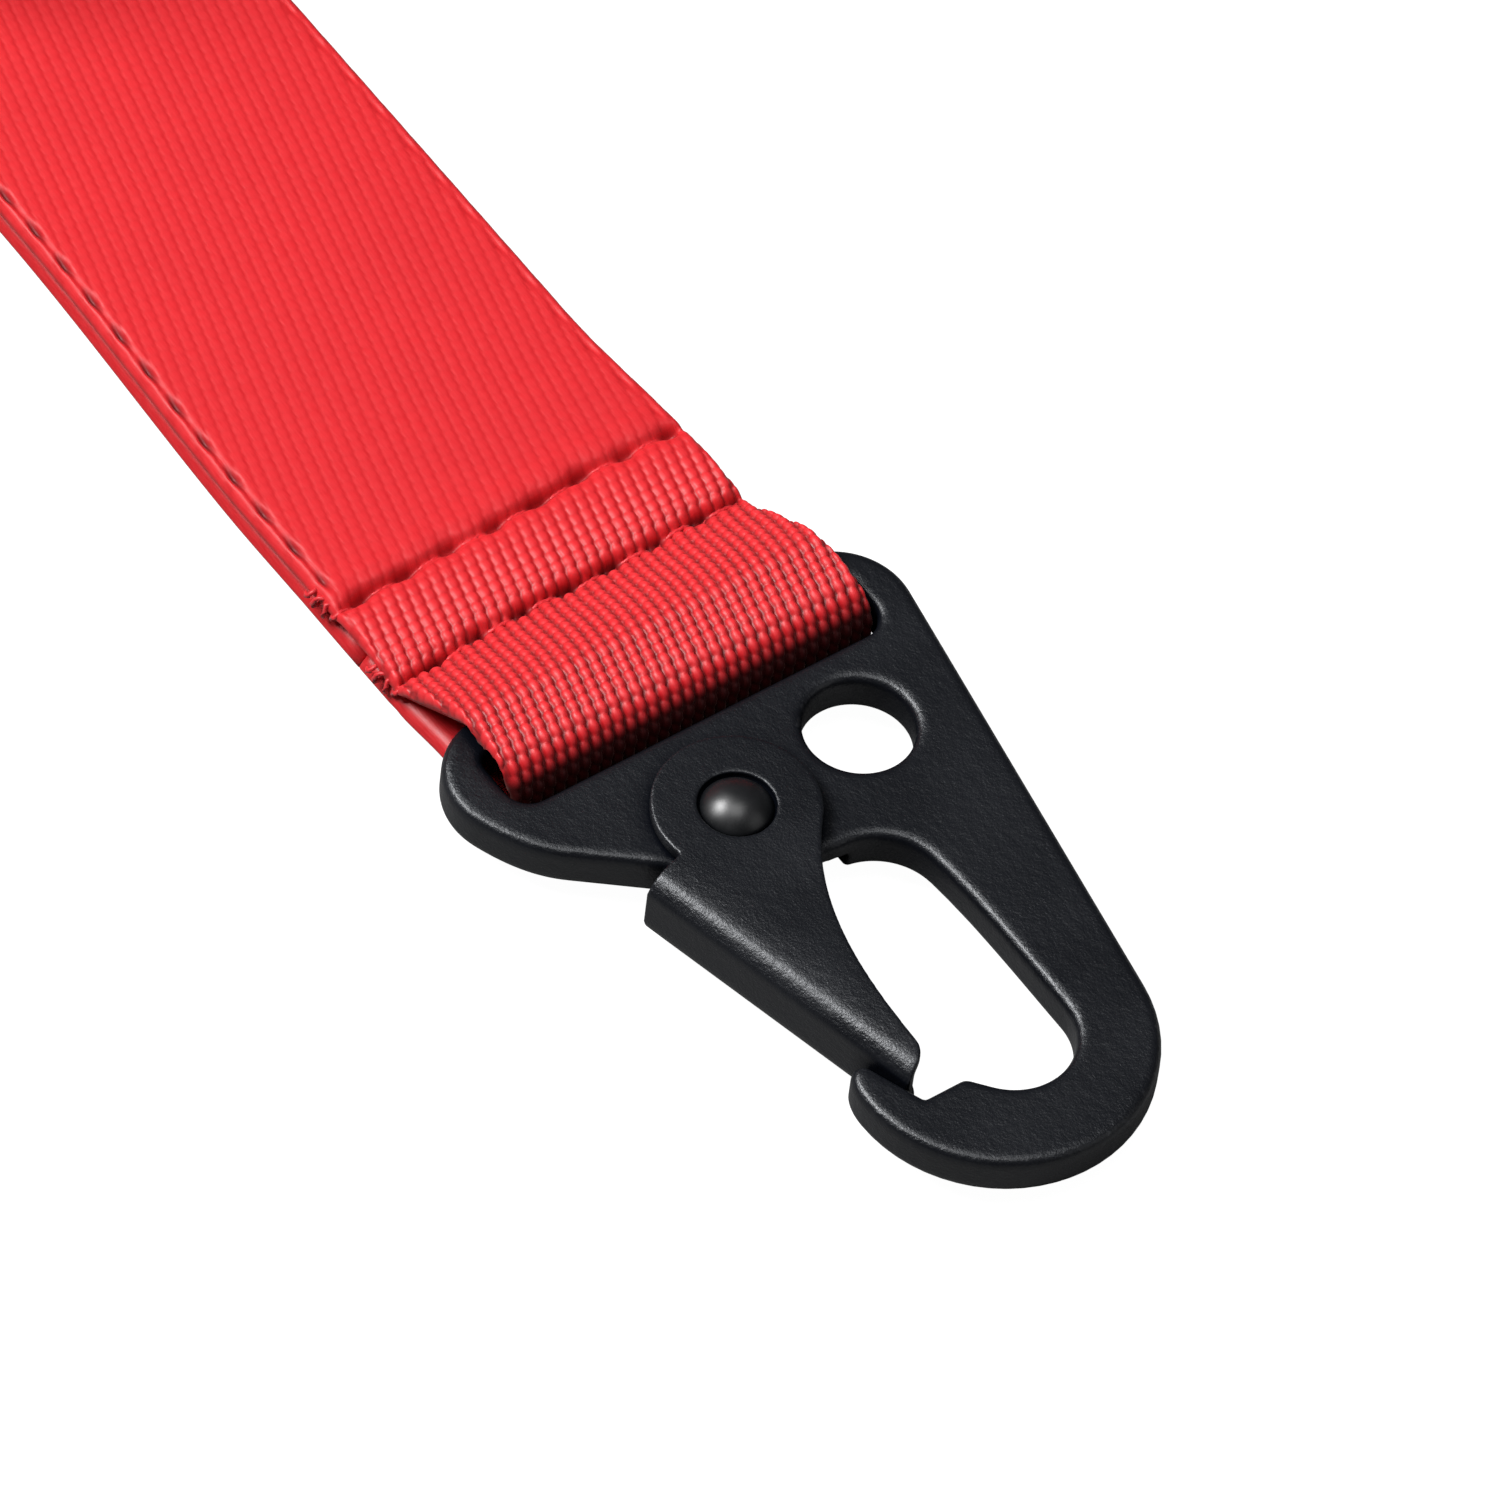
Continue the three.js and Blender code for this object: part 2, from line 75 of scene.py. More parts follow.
# Gate lever: its outer face runs at this angle and at this distance from the rivet
WEB_ANGLE = math.radians(14.3)
WEB_DISTANCE = 8 * MM
WEB_OUTWARD = Vector((math.sin(WEB_ANGLE), -math.cos(WEB_ANGLE), 0))

# The upper leaf's crown: how far from the fold it starts, how deep it is at the fold, and the
# depths below the leaf's top between which it fades out
CROWN_REACH = 3.4 * MM
CROWN_DEPTH = 0.32 * MM
CROWN_FADE = (1.4 * MM, 0.3 * MM)

# Rivet
HEAD_RADIUS = 2.2 * MM
HEAD_HEIGHT = 1.3 * MM
HEAD_RIM = 0.12 * MM
SHANK_RADIUS = 1.5 * MM
TAIL_RADIUS = 2.4 * MM
TAIL_PLAY = 0.04 * MM
TAIL_FULLNESS = 0.7
RIVET_STEPS = 12
RIVET_SIDES = 96

# Strap
WEB_WIDTH = 25 * MM
WEB_THICKNESS = 1.4 * MM
LAYER_GAP = 0.12 * MM
DOUBLE = 2 * WEB_THICKNESS + LAYER_GAP
STRAP_LENGTH = 450 * MM
STRAP_MID_Y = RIVET.y + 2.55 * MM
LOOP_OUTER = STRAP_HIGH.z / 2
LOOP_MID = LOOP_OUTER - WEB_THICKNESS / 2
LOOP_X = STRAP_HIGH.x - LOOP_OUTER
BAR_WIDTH = 2.65 * MM
BAR_X = PLATE_LOW.x + BAR_WIDTH / 2
RISE_END = PLATE_LOW.x - 5.45 * MM
LEAN_ANGLE = math.radians(0.6)
LEAN_START = RIVET.x - 8 * MM
LEAN_EASE = 4 * MM
FRONT_SEAM_X = RISE_END - 0.6 * MM
REAR_SEAM_X = FRONT_SEAM_X - 6.3 * MM
SEAM_MARGIN = 0.4 * MM
EDGE_ROW_Y = WEB_WIDTH / 2 - 0.75 * MM
EDGE_ROW_START = REAR_SEAM_X - 1.6 * MM
EDGE_ROW_LENGTH = 43.4 * MM
EDGE_ROW_END = EDGE_ROW_START - EDGE_ROW_LENGTH
STITCH_PITCH = 3.15 * MM
SEAMS = ((FRONT_SEAM_X, 0.4), (REAR_SEAM_X, 2.1))
BUTT_X = (FRONT_SEAM_X + REAR_SEAM_X) / 2
BUTT_GAP = 0.25 * MM

# Threads. A cross seam's thread ends in a loose tail, wound round the webbing's lower edge.
THREAD_RADIUS = 0.17 * MM
PLY_DEPTH = 0.28
PLY_PITCH = 0.9 * MM
THREAD_SIDES = 10
STITCH_STEP = 0.12 * MM
STITCH_DIVE = 0.3 * MM
CROSS_SUNK = 0.7 * THREAD_RADIUS
EDGE_SUNK = 1.4 * THREAD_RADIUS
TAIL_LENGTH = 2.6 * MM
TAIL_TURNS = 3.5
TAIL_COIL = 0.42 * MM

# Roll
ROLL_RADIUS = ROLL_HIGH.z / 2
TURN_GAP = 0.06 * MM
ROLL_PITCH = DOUBLE + TURN_GAP
ROLL_CORE = 6 * MM
TIGHT_TURN = 8 * MM

# Weave: beads lie on a slanted lattice, and form chains that run a little askew of the strap.
# A step along a chain and a step to the next chain, as (along, across):
CHAIN_STEP = (0.777 * MM, 0.193 * MM)
NEXT_CHAIN_STEP = (0.0, 0.79 * MM)
BEAD_SLANT = math.radians(7)
BEAD_HALF_LENGTH = 0.53 * MM
BEAD_HALF_WIDTH = 0.34 * MM
BEAD_HEIGHT = 0.032 * MM
BEND_BEAD_HEIGHT = 0.32 * MM
FINE_STEP = 0.11 * MM
COARSE_STEP = 1.4 * MM
ACROSS_STEP = 0.08 * MM
INNER_STEP = 0.5 * MM
FINE_REACH = 78 * MM
BORDER_ROUND = 0.45 * MM


# ---- camera, light and floor -----------------------------------------------------------------


def make_camera():
    aim = Vector((RIVET.x + CAMERA_AIM[0], RIVET.y + CAMERA_AIM[1], PLATE_LOW.z))
    heading, elevation = math.radians(CAMERA_HEADING), math.radians(CAMERA_ELEVATION)
    roll = math.radians(CAMERA_ROLL)
    away = Vector((math.cos(heading), math.sin(heading), 0))
    back = Vector((0, 0, 1)) * math.sin(elevation) - away * math.cos(elevation)
    level_right = away.cross(Vector((0, 0, 1)))
    level_up = back.cross(level_right)
    right = level_right * math.cos(roll) + level_up * math.sin(roll)
    up = level_up * math.cos(roll) - level_right * math.sin(roll)
    data = bpy.data.cameras.new("camera")
    data.lens = CAMERA_LENS
    data.sensor_width = 36
    data.clip_start, data.clip_end = 0.05, 20
    camera = bpy.data.objects.new("camera", data)
    bpy.context.scene.collection.objects.link(camera)
    turn = Matrix((right, up, back)).transposed().to_4x4()
    camera.matrix_world = Matrix.Translation(aim + back * CAMERA_DISTANCE) @ turn
    bpy.context.scene.camera = camera
    return away, level_right


def make_light(name, power, size, place, target):
    """A square soft box, aimed at the target."""
    data = bpy.data.lights.new(name, "AREA")
    data.energy = power
    data.size = size
    light = bpy.data.objects.new(name, data)
    light.location = place
    light.rotation_mode = "QUATERNION"
    light.rotation_quaternion = (Vector(target) - Vector(place)).to_track_quat("-Z", "Y")
    bpy.context.scene.collection.objects.link(light)


def make_studio(away, right):
    target = Vector((RIVET.x - 5 * MM, RIVET.y, 0))
    up = Vector((0, 0, 1))
    make_light("key", 9.7, 0.36, target - right * 0.56 + away * 0.06 + up * 0.68, target)
    make_light("top", 2.6, 0.5, target + up * 0.95 - away * 0.1, target)
    make_light("fill", 0.4, 0.5, target + right * 0.7 - away * 0.2 + up * 0.4, target)
    bpy.context.scene.world = make_sky()
    bpy.context.scene.view_settings.view_transform = "Standard"


def make_sky():
    """A soft white sky that darkens towards the horizon."""
    world = bpy.data.worlds.new("studio")
    world.use_nodes = True
    tree = world.node_tree
    direction = tree.nodes.new("ShaderNodeTexCoord").outputs["Generated"]
    parts = tree.nodes.new("ShaderNodeSeparateXYZ")
    tree.links.new(direction, parts.inputs["Vector"])
    height = tree.nodes.new("ShaderNodeMapRange")
    tree.links.new(parts.outputs["Z"], height.inputs["Value"])
    for name, number in (("From Min", 0.1), ("From Max", 1.0), ("To Min", 0.02), ("To Max", 0.09)):
        height.inputs[name].default_value = number
    tree.links.new(height.outputs["Result"], tree.nodes["Background"].inputs["Strength"])
    tree.nodes["Background"].inputs["Color"].default_value = (1, 1, 1, 1)
    return world


def make_floor():
    """A floor a hair below the strap: white to the camera, and a dull grey to everything else."""
    bpy.ops.mesh.primitive_plane_add(size=3.0, location=(0, 0, -0.02 * MM))
    floor = bpy.context.object
    floor.name = "floor"
    material = bpy.data.materials.new("floor")
    material.use_nodes = True
    tree = material.node_tree
    shader = tree.nodes["Principled BSDF"]
    shader.inputs["Base Color"].default_value = (0.2, 0.2, 0.2, 1)
    shader.inputs["Roughness"].default_value = 0.9
    shader.inputs["Specular IOR Level"].default_value = 0.0
    shader.inputs["Emission Color"].default_value = (1, 1, 1, 1)
    seen = tree.nodes.new("ShaderNodeLightPath").outputs["Is Camera Ray"]
    glow = tree.nodes.new("ShaderNodeMath")
    glow.operation = "MULTIPLY"
    glow.inputs[1].default_value = 0.98
    tree.links.new(seen, glow.inputs[0])
    tree.links.new(glow.outputs["Value"], shader.inputs["Emission Strength"])
    floor.data.materials.append(material)


# ---- materials -------------------------------------------------------------------------------


class Nodes:
    """A principled material and short names for the nodes that feed it."""

    def __init__(self, name):
        self.material = bpy.data.materials.new(name)
        self.material.use_nodes = True
        self.tree = self.material.node_tree
        self.shader = self.tree.nodes["Principled BSDF"]

    def new(self, kind, **inputs):
        node = self.tree.nodes.new(kind)
        for name, value in inputs.items():
            socket = node.inputs[name.replace("_", " ")]
            if isinstance(value, bpy.types.NodeSocket):
                self.tree.links.new(value, socket)
            else:
                socket.default_value = value
        return node

    def link(self, output, name):
        self.tree.links.new(output, self.shader.inputs[name])

    def value(self, name, value):
        self.shader.inputs[name].default_value = value

    def place(self):
        return self.new("ShaderNodeTexCoord").outputs["Object"]

    def noise(self, vector, scale, detail=2.0, roughness=0.5):
        settings = {"Vector": vector, "Scale": scale, "Detail": detail, "Roughness": roughness}
        return self.new("ShaderNodeTexNoise", **settings).outputs["Fac"]

    def attribute(self, name):
        node = self.new("ShaderNodeAttribute")
        node.attribute_name = name
        return node.outputs["Fac"]

    def spread(self, value, low, high, to_low, to_high):
        node = self.tree.nodes.new("ShaderNodeMapRange")
        self.tree.links.new(value, node.inputs["Value"])
        names = ("From Min", "From Max", "To Min", "To Max")
        for name, number in zip(names, (low, high, to_low, to_high)):
            node.inputs[name].default_value = number
        return node.outputs["Result"]

    def ramp(self, value, stops):
        node = self.new("ShaderNodeValToRGB", Fac=value)
        elements = node.color_ramp.elements
        while len(elements) < len(stops):
            elements.new(0.5)
        for element, (position, colour) in zip(elements, stops):
            element.position = position
            element.color = (*colour, 1)
        return node.outputs["Color"]

    def mix(self, factor, first, second):
        """The second colour over the first. The mix node's colour sockets are its 6th and 7th."""
        node = self.tree.nodes.new("ShaderNodeMix")
        node.data_type = "RGBA"
        for index, value in ((0, factor), (6, first), (7, second)):
            if isinstance(value, bpy.types.NodeSocket):
                self.tree.links.new(value, node.inputs[index])
            else:
                node.inputs[index].default_value = value
        return node.outputs[2]

    def bump(self, height, distance, strength=1.0, normal=None):
        node = self.new("ShaderNodeBump", Height=height, Distance=distance, Strength=strength)
        if normal is not None:
            self.tree.links.new(normal, node.inputs["Normal"])
        return node.outputs["Normal"]

    def openness(self, distance):
        """1 where nothing stands near, less in a crevice."""
        return self.new("ShaderNodeAmbientOcclusion", Distance=distance).outputs["AO"]

    def worn_edge(self, low, high):
        pointiness = self.new("ShaderNodeNewGeometry").outputs["Pointiness"]
        return self.spread(pointiness, low, high, 0.0, 1.0)


def coated_steel():
    """Semi-matt black powder coat: a fine grain over a soft orange peel, a little thinner on edges."""
    made = Nodes("coated_steel")
    place = made.place()
    grain = made.noise(place, 6400, 3, 0.6)
    peel = made.noise(place, 1500, 2)
    cloud = made.noise(place, 160, 3)
    edge = made.worn_edge(0.515, 0.56)
    dark, pale = (0.0024, 0.0030, 0.0050), (0.0040, 0.0048, 0.0074)
    coat = made.ramp(cloud, [(0.3, dark), (0.7, pale)])
    made.link(made.mix(edge, coat, (0.014, 0.015, 0.018, 1)), "Base Color")
    made.link(made.spread(cloud, 0.3, 0.7, 0.31, 0.37), "Roughness")
    made.value("Metallic", 0.0)
    # Painted shade: the reflection is dimmed in crevices and beside parts that stand close, which
    # draws dark contact lines.
    made.link(made.spread(made.openness(1.7 * MM), 0.5, 0.97, 0.0, 0.62), "Specular IOR Level")
    made.value("Specular Tint", (0.95, 0.97, 1.0, 1))
    normal = made.bump(peel, 0.05 * MM, 0.8)
    made.link(made.bump(grain, 0.032 * MM, 1.0, normal), "Normal")
    return made.material


def rivet_steel():
    """Smooth glossy black, with faint tumbling marks."""
    made = Nodes("rivet_steel")
    marks = made.noise(made.place(), 900, 4)
    dark, pale = (0.004, 0.0045, 0.0055), (0.008, 0.0085, 0.010)
    made.link(made.ramp(marks, [(0.3, dark), (0.8, pale)]), "Base Color")
    made.link(made.spread(marks, 0.3, 0.7, 0.34, 0.40), "Roughness")
    made.value("Metallic", 0.0)
    # Painted shade: the reflection is dimmed in the crevice of the seat round the head.
    made.link(made.spread(made.openness(0.9 * MM), 0.4, 0.95, 0.05, 0.85), "Specular IOR Level")
    made.link(made.bump(marks, 0.01 * MM, 0.4), "Normal")
    return made.material


def spring_steel():
    """Bright drawn wire with lines along it."""
    made = Nodes("spring_steel")
    lines = made.noise(made.place(), 3000, 2)
    dark, pale = (0.24, 0.25, 0.27), (0.40, 0.41, 0.43)
    made.link(made.ramp(lines, [(0.3, dark), (0.7, pale)]), "Base Color")
    made.value("Metallic", 1.0)
    made.link(made.spread(lines, 0.2, 0.8, 0.25, 0.42), "Roughness")
    made.link(made.bump(lines, 0.01 * MM, 0.5), "Normal")
    return made.material


def webbing():
    """Red polyester: fine fibres and a soft sheen, with painted shade between the beads, in the sewn
    seams, where the loop goes into the slot and on the loop's front.
    """
    made = Nodes("webbing")
    bead_shade, painted_shade = made.attribute("bead_shade"), made.attribute("painted_shade")
    fibre_scale = made.new("ShaderNodeMapping", Vector=made.new("ShaderNodeUVMap").outputs["UV"])
    fibre_scale.inputs["Scale"].default_value = (900, 14000, 1)
    fibres = made.noise(fibre_scale.outputs["Vector"], 1.0, 2)
    patches = made.noise(made.place(), 220, 3)
    # Painted shade: the colour runs from a dark red between the weave's beads to a bright red on top
    # of them.
    deep, middle, high = (0.16, 0.0008, 0.002), (0.60, 0.008, 0.013), (0.83, 0.022, 0.030)
    base = made.ramp(bead_shade, [(0.0, deep), (0.5, middle), (0.95, high)])
    patched = made.mix(made.spread(patches, 0.3, 0.7, 0.0, 0.16), base, (0.52, 0.012, 0.02, 1))
    fuzzy = made.mix(made.spread(fibres, 0.35, 0.75, 0.0, 0.35), patched, (0.88, 0.045, 0.052, 1))
    # Painted shade: a nearly black red where the strap is meant to lie in shade, with its reflection
    # dimmed there too.
    made.link(made.mix(painted_shade, fuzzy, (0.035, 0.0004, 0.0008, 1)), "Base Color")
    made.link(made.spread(fibres, 0.2, 0.8, 0.40, 0.58), "Roughness")
    made.link(made.spread(painted_shade, 0.0, 0.15, 0.56, 0.28), "Specular IOR Level")
    made.value("Sheen Weight", 0.1)
    made.value("Sheen Roughness", 0.4)
    made.value("Sheen Tint", (1.0, 0.55, 0.5, 1))
    made.link(made.bump(fibres, 0.018 * MM, 0.7), "Normal")
    return made.material


def sewing_thread():
    """Red twisted thread, a shade deeper than the webbing."""
    made = Nodes("sewing_thread")
    fibres = made.noise(made.place(), 9000, 2)
    deep, high = (0.50, 0.006, 0.012), (0.80, 0.03, 0.04)
    made.link(made.ramp(fibres, [(0.25, deep), (0.8, high)]), "Base Color")
    made.value("Roughness", 0.45)
    made.value("Sheen Weight", 0.1)
    made.link(made.bump(fibres, 0.012 * MM, 0.6), "Normal")
    return made.material


# ---- metal pieces ----------------------------------------------------------------------------


def shade_smooth(mesh):
    mesh.polygons.foreach_set("use_smooth", [True] * len(mesh.polygons))
    return mesh


def add_piece(name, mesh, material, body, slot, *nodes):
    """Shows the mesh in place of the nodes, riding the body. A piece given no body rides none."""
    piece = bpy.data.objects.new(name, mesh)
    bpy.context.scene.collection.objects.link(piece)
    mesh.materials.clear()
    mesh.materials.append(material)
    if body:
        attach(piece, body)
    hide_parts(*nodes)
    return piece


def refined(node, voxel, rounds):
    """A node's solid remade as a fine even skin whose edges are worn round. Worked in millimetres."""
    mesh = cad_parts[node].data.copy()
    mesh.transform(Matrix.Scale(1 / MM, 4))
    work = bpy.data.objects.new("work", mesh)
    bpy.context.scene.collection.objects.link(work)
    remesh = work.modifiers.new("skin", "REMESH")
    remesh.mode = "VOXEL"
    remesh.voxel_size = voxel
    remesh.use_smooth_shade = True
    worn = work.modifiers.new("round", "SMOOTH")
    worn.factor = 0.5
    worn.iterations = rounds
    bpy.context.view_layer.update()
    evaluated = work.evaluated_get(bpy.context.evaluated_depsgraph_get())
    result = bpy.data.meshes.new_from_object(evaluated)
    bpy.data.objects.remove(work)
    result.transform(Matrix.Scale(MM, 4))
    result.name = node
    return shade_smooth(result)


def lathe(name, profile, centre, sides):
    """A closed solid turned about a vertical line: profile holds (radius, height), axis to axis."""
    shape = bmesh.new()
    angles = [2 * math.pi * k / sides for k in range(sides)]
    rings = []
    for radius, height in profile:
        directions = [(math.cos(a), math.sin(a)) for a in (angles if radius else angles[:1])]
        rings.append([
            shape.verts.new((centre.x + radius * across, centre.y + radius * along, height))
            for across, along in directions
        ])
    for lower, upper in zip(rings, rings[1:]):
        for k in range(sides):
            following = (k + 1) % sides
            corners = [lower[k % len(lower)], lower[following % len(lower)]]
            corners += [upper[following % len(upper)], upper[k % len(upper)]]
            shape.faces.new(list(dict.fromkeys(corners)))
    mesh = bpy.data.meshes.new(name)
    shape.to_mesh(mesh)
    shape.free()
    return shade_smooth(mesh)


def make_rivet(material):
    """The head is a shallow dome with a rounded rim, and the tail is a flatter one."""
    head_seat = RIVET_HIGH.z - HEAD_HEIGHT
    tail_top = GATE_LOW.z - TAIL_PLAY
    tail_height = tail_top - RIVET_LOW.z
    profile = [(0.0, RIVET_LOW.z)]
    for k in range(1, RIVET_STEPS):
        turned = math.pi / 2 * k / RIVET_STEPS
        bulge = tail_height * math.cos(turned) ** TAIL_FULLNESS
        profile.append((TAIL_RADIUS * math.sin(turned), tail_top - bulge))
    profile += [(TAIL_RADIUS, tail_top), (SHANK_RADIUS, tail_top), (SHANK_RADIUS, head_seat)]
    profile += [(HEAD_RADIUS - HEAD_RIM, head_seat), (HEAD_RADIUS, head_seat + HEAD_RIM)]
    dome_height = HEAD_HEIGHT - HEAD_RIM
    dome = (HEAD_RADIUS**2 + dome_height**2) / (2 * dome_height)
    for k in range(1, RIVET_STEPS):
        radius = HEAD_RADIUS * (1 - (k / RIVET_STEPS) ** 1.5)
        profile.append((radius, RIVET_HIGH.z - dome + math.sqrt(dome**2 - radius**2)))
    profile.append((0.0, RIVET_HIGH.z))
    mesh = lathe("rivet", profile, RIVET, RIVET_SIDES)
    add_piece("rivet", mesh, material, "hook", "rivet_steel", "gate_rivet")


def crowned(gate):
    """Gives the lever's upper leaf the slight crown that it has beside its fold."""
    places = np.empty(len(gate.vertices) * 3)
    gate.vertices.foreach_get("co", places)
    places = places.reshape(-1, 3)
    reach = (places[:, 0] - RIVET.x) * WEB_OUTWARD.x + (places[:, 1] - RIVET.y) * WEB_OUTWARD.y
    near_fold = np.clip(1 - (WEB_DISTANCE - reach) / CROWN_REACH, 0, 1) ** 2
    on_top = smooth(places[:, 2], GATE_HIGH.z - CROWN_FADE[0], GATE_HIGH.z - CROWN_FADE[1])
    places[:, 2] -= CROWN_DEPTH * near_fold * on_top
    gate.vertices.foreach_set("co", places.ravel())
    return gate


def make_spring(material):
    """The spring wire, remade as a finer skin and given no body."""
    wire = refined("gate_spring", 0.07, 3)
    spring = add_piece("spring", wire, material, None, "spring_steel", "gate_spring")
    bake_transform(spring)


def make_metal(coated, rivet_black, spring_wire):
    plate = refined("hook_plate", 0.11, 9)
    lever = crowned(refined("gate_lever", 0.09, 13))
    add_piece("hook", plate, coated, "hook", "coated_steel", "hook_plate")
    add_piece("gate", lever, coated, "gate", "coated_steel", "gate_lever")
    make_spring(spring_wire)
    make_rivet(rivet_black)


# ---- strap: the middle line ------------------------------------------------------------------


def line(start, end, step):
    """Points from start up to end, which is left for the next stretch to give."""
    count = max(2, math.ceil(math.dist(start, end) / step))
    return [
        (start[0] + (end[0] - start[0]) * k / count, start[1] + (end[1] - start[1]) * k / count)
        for k in range(count)
    ]


def turn(centre, radius, from_degrees, to_degrees, step):
    span = math.radians(to_degrees - from_degrees)
    count = max(2, math.ceil(abs(span) * radius / step))
    angles = [math.radians(from_degrees) + span * k / count for k in range(count)]
    return [(centre[0] + radius * math.cos(a), centre[1] + radius * math.sin(a)) for a in angles]


def roll_turns():
    """The middle of the double strap as it winds up: (x, z) and the way to the roll's axis."""
    centre = ((ROLL_LOW.x + ROLL_HIGH.x) / 2, ROLL_RADIUS)
    outer = ROLL_RADIUS - DOUBLE / 2
    rolled = STRAP_LENGTH - (STRAP_HIGH.x - centre[0])
    angle, wound, points = 0.0, 0.0, []
    while wound < rolled - ROLL_CORE:
        radius = outer - ROLL_PITCH * angle / (2 * math.pi)
        inward = (math.sin(angle), math.cos(angle))
        points.append((centre[0] - radius * inward[0], centre[1] - radius * inward[1], *inward))
        step = COARSE_STEP if radius > TIGHT_TURN else COARSE_STEP / 2
        angle += step / radius
        wound += step
    return points


def strap_middle():
    """The whole webbing as one line: the lower layer forward, round the bar, and back."""
    low, high = WEB_THICKNESS / 2, DOUBLE - WEB_THICKNESS / 2
    over = LOOP_OUTER + LOOP_MID
    to_bar = (BAR_X - RISE_END, LOOP_OUTER - high)
    steepness = math.atan2(to_bar[1], to_bar[0]) + math.asin(LOOP_MID / math.hypot(*to_bar))
    touch = (BAR_X - LOOP_MID * math.sin(steepness), LOOP_OUTER + LOOP_MID * math.cos(steepness))
    fine_end = RIVET.x - FINE_REACH
    apart = (WEB_THICKNESS + LAYER_GAP) / 2
    turns = roll_turns()
    upper_turns = [(x + nx * apart, z + nz * apart) for x, z, nx, nz in turns]
    lower_turns = [(x - nx * apart, z - nz * apart) for x, z, nx, nz in turns]
    x, z, nx, nz = turns[-1]
    ahead = (-nz, nx)
    fold = [
        (
            x + apart * (nx * math.cos(a) + ahead[0] * math.sin(a)),
            z + apart * (nz * math.cos(a) + ahead[1] * math.sin(a)),
        )
        for a in (math.pi * k / 8 for k in range(1, 8))
    ]
    return [
        *line((BUTT_X + BUTT_GAP / 2, low), (LOOP_X - 4 * MM, low), 4 * FINE_STEP),
        *line((LOOP_X - 4 * MM, low), (LOOP_X, low), FINE_STEP),
        *turn((LOOP_X, LOOP_OUTER), LOOP_MID, -90, 90, FINE_STEP),
        *line((LOOP_X, over), (BAR_X, over), FINE_STEP),
        *turn((BAR_X, LOOP_OUTER), LOOP_MID, 90, 90 + math.degrees(steepness), FINE_STEP),
        *line(touch, (RISE_END, high), FINE_STEP),
        *line((RISE_END, high), (fine_end, high), FINE_STEP),
        *line((fine_end, high), upper_turns[0], COARSE_STEP),
        *upper_turns,
        *fold,
        *reversed(lower_turns),
        *line(lower_turns[0], (BUTT_X - BUTT_GAP / 2, low), COARSE_STEP),
        (BUTT_X - BUTT_GAP / 2, low),
    ]


def lean(points):
    """Turns the straight strap by the small angle at which it leaves the hook."""
    behind = np.maximum(LEAN_START - points[:, 0], 0)
    angle = LEAN_ANGLE * np.minimum(behind / LEAN_EASE, 1)
    eased = np.where(behind < LEAN_EASE, behind**2 / (2 * LEAN_EASE), behind - LEAN_EASE / 2)
    leant = points.copy()
    leant[:, 0] = points[:, 0] - np.sin(angle) * points[:, 1]
    leant[:, 1] = STRAP_MID_Y - LEAN_ANGLE * eased + np.cos(angle) * points[:, 1]
    return leant


# ---- strap: relief ---------------------------------------------------------------------------


def seam_line(x, across, seed):
    """Where a hand-guided seam runs: a little askew, bowed and unsteady."""
    share = across / WEB_WIDTH
    bow = 0.4 * MM * (np.cos(math.pi * share) - 0.6)
    unsteady = 0.13 * MM * np.sin(9 * share + seed) + 0.06 * MM * np.sin(31 * share + 2 * seed)
    return x - 0.03 * across - bow + unsteady


def bell(distance, width):
    return np.exp(-((distance / width) ** 2))


def smooth(value, low, high):
    share = np.clip((value - low) / (high - low), 0, 1)
    return share * share * (3 - 2 * share)


def needle_hole(run, seed, power):
    """1 at a needle hole and 0 halfway between two."""
    return (0.5 + 0.5 * np.cos(2 * math.pi * run / STITCH_PITCH + seed)) ** power


def edge_run(x):
    """1 along the edge rows of stitches, easing to 0 past their two ends."""
    return smooth(np.minimum(EDGE_ROW_START + 1.4 * MM - x, x - EDGE_ROW_END), 0, 2 * MM)


def seam_relief(x, across):
    """How far the sewn webbing sinks at its seams, most at the needle holes, and puffs beside them."""
    depth = np.zeros_like(x)
    reach = smooth(WEB_WIDTH / 2 - np.abs(across), 0, 1.0 * MM)
    for middle, seed in SEAMS:
        away = x - seam_line(middle, across, seed)
        hole = needle_hole(across, seed, 2)
        uneven = 1 + 0.25 * np.sin(across / (1.9 * MM) + 3 * seed)
        groove = 0.5 * uneven * bell(away, 0.34 * MM) + 0.46 * hole * bell(away, 0.54 * MM)
        depth -= groove * MM * (0.3 + 0.7 * reach)
        swell = bell(np.abs(away) - 1.4 * MM, 0.8 * MM)
        depth += 0.1 * MM * swell * (1 - 0.4 * hole) * reach
    between = (x - REAR_SEAM_X) / (FRONT_SEAM_X - REAR_SEAM_X)
    depth += np.where((between > 0) & (between < 1), 0.22 * MM * np.sin(math.pi * between), 0)
    pulled = np.where(across < 0, 1, 0.3) * edge_run(x)
    from_border = WEB_WIDTH / 2 - np.abs(across)
    depth -= 0.2 * MM * pulled * smooth(from_border, 0.6 * MM, 0.15 * MM)
    hole = needle_hole(x - EDGE_ROW_START, 0.0, 2)
    from_row = np.abs(across) - EDGE_ROW_Y
    depth -= (0.1 + 0.3 * hole) * MM * pulled * bell(from_row, 0.22 * MM)
    return depth


def row_shadow(x, across):
    """How dark the needle holes of the lower edge's row look, from 0 to 1."""
    hole = needle_hole(x - EDGE_ROW_START, 0.0, 1)
    return edge_run(x) * (0.2 + 0.7 * hole) * bell(across + EDGE_ROW_Y, 0.22 * MM)


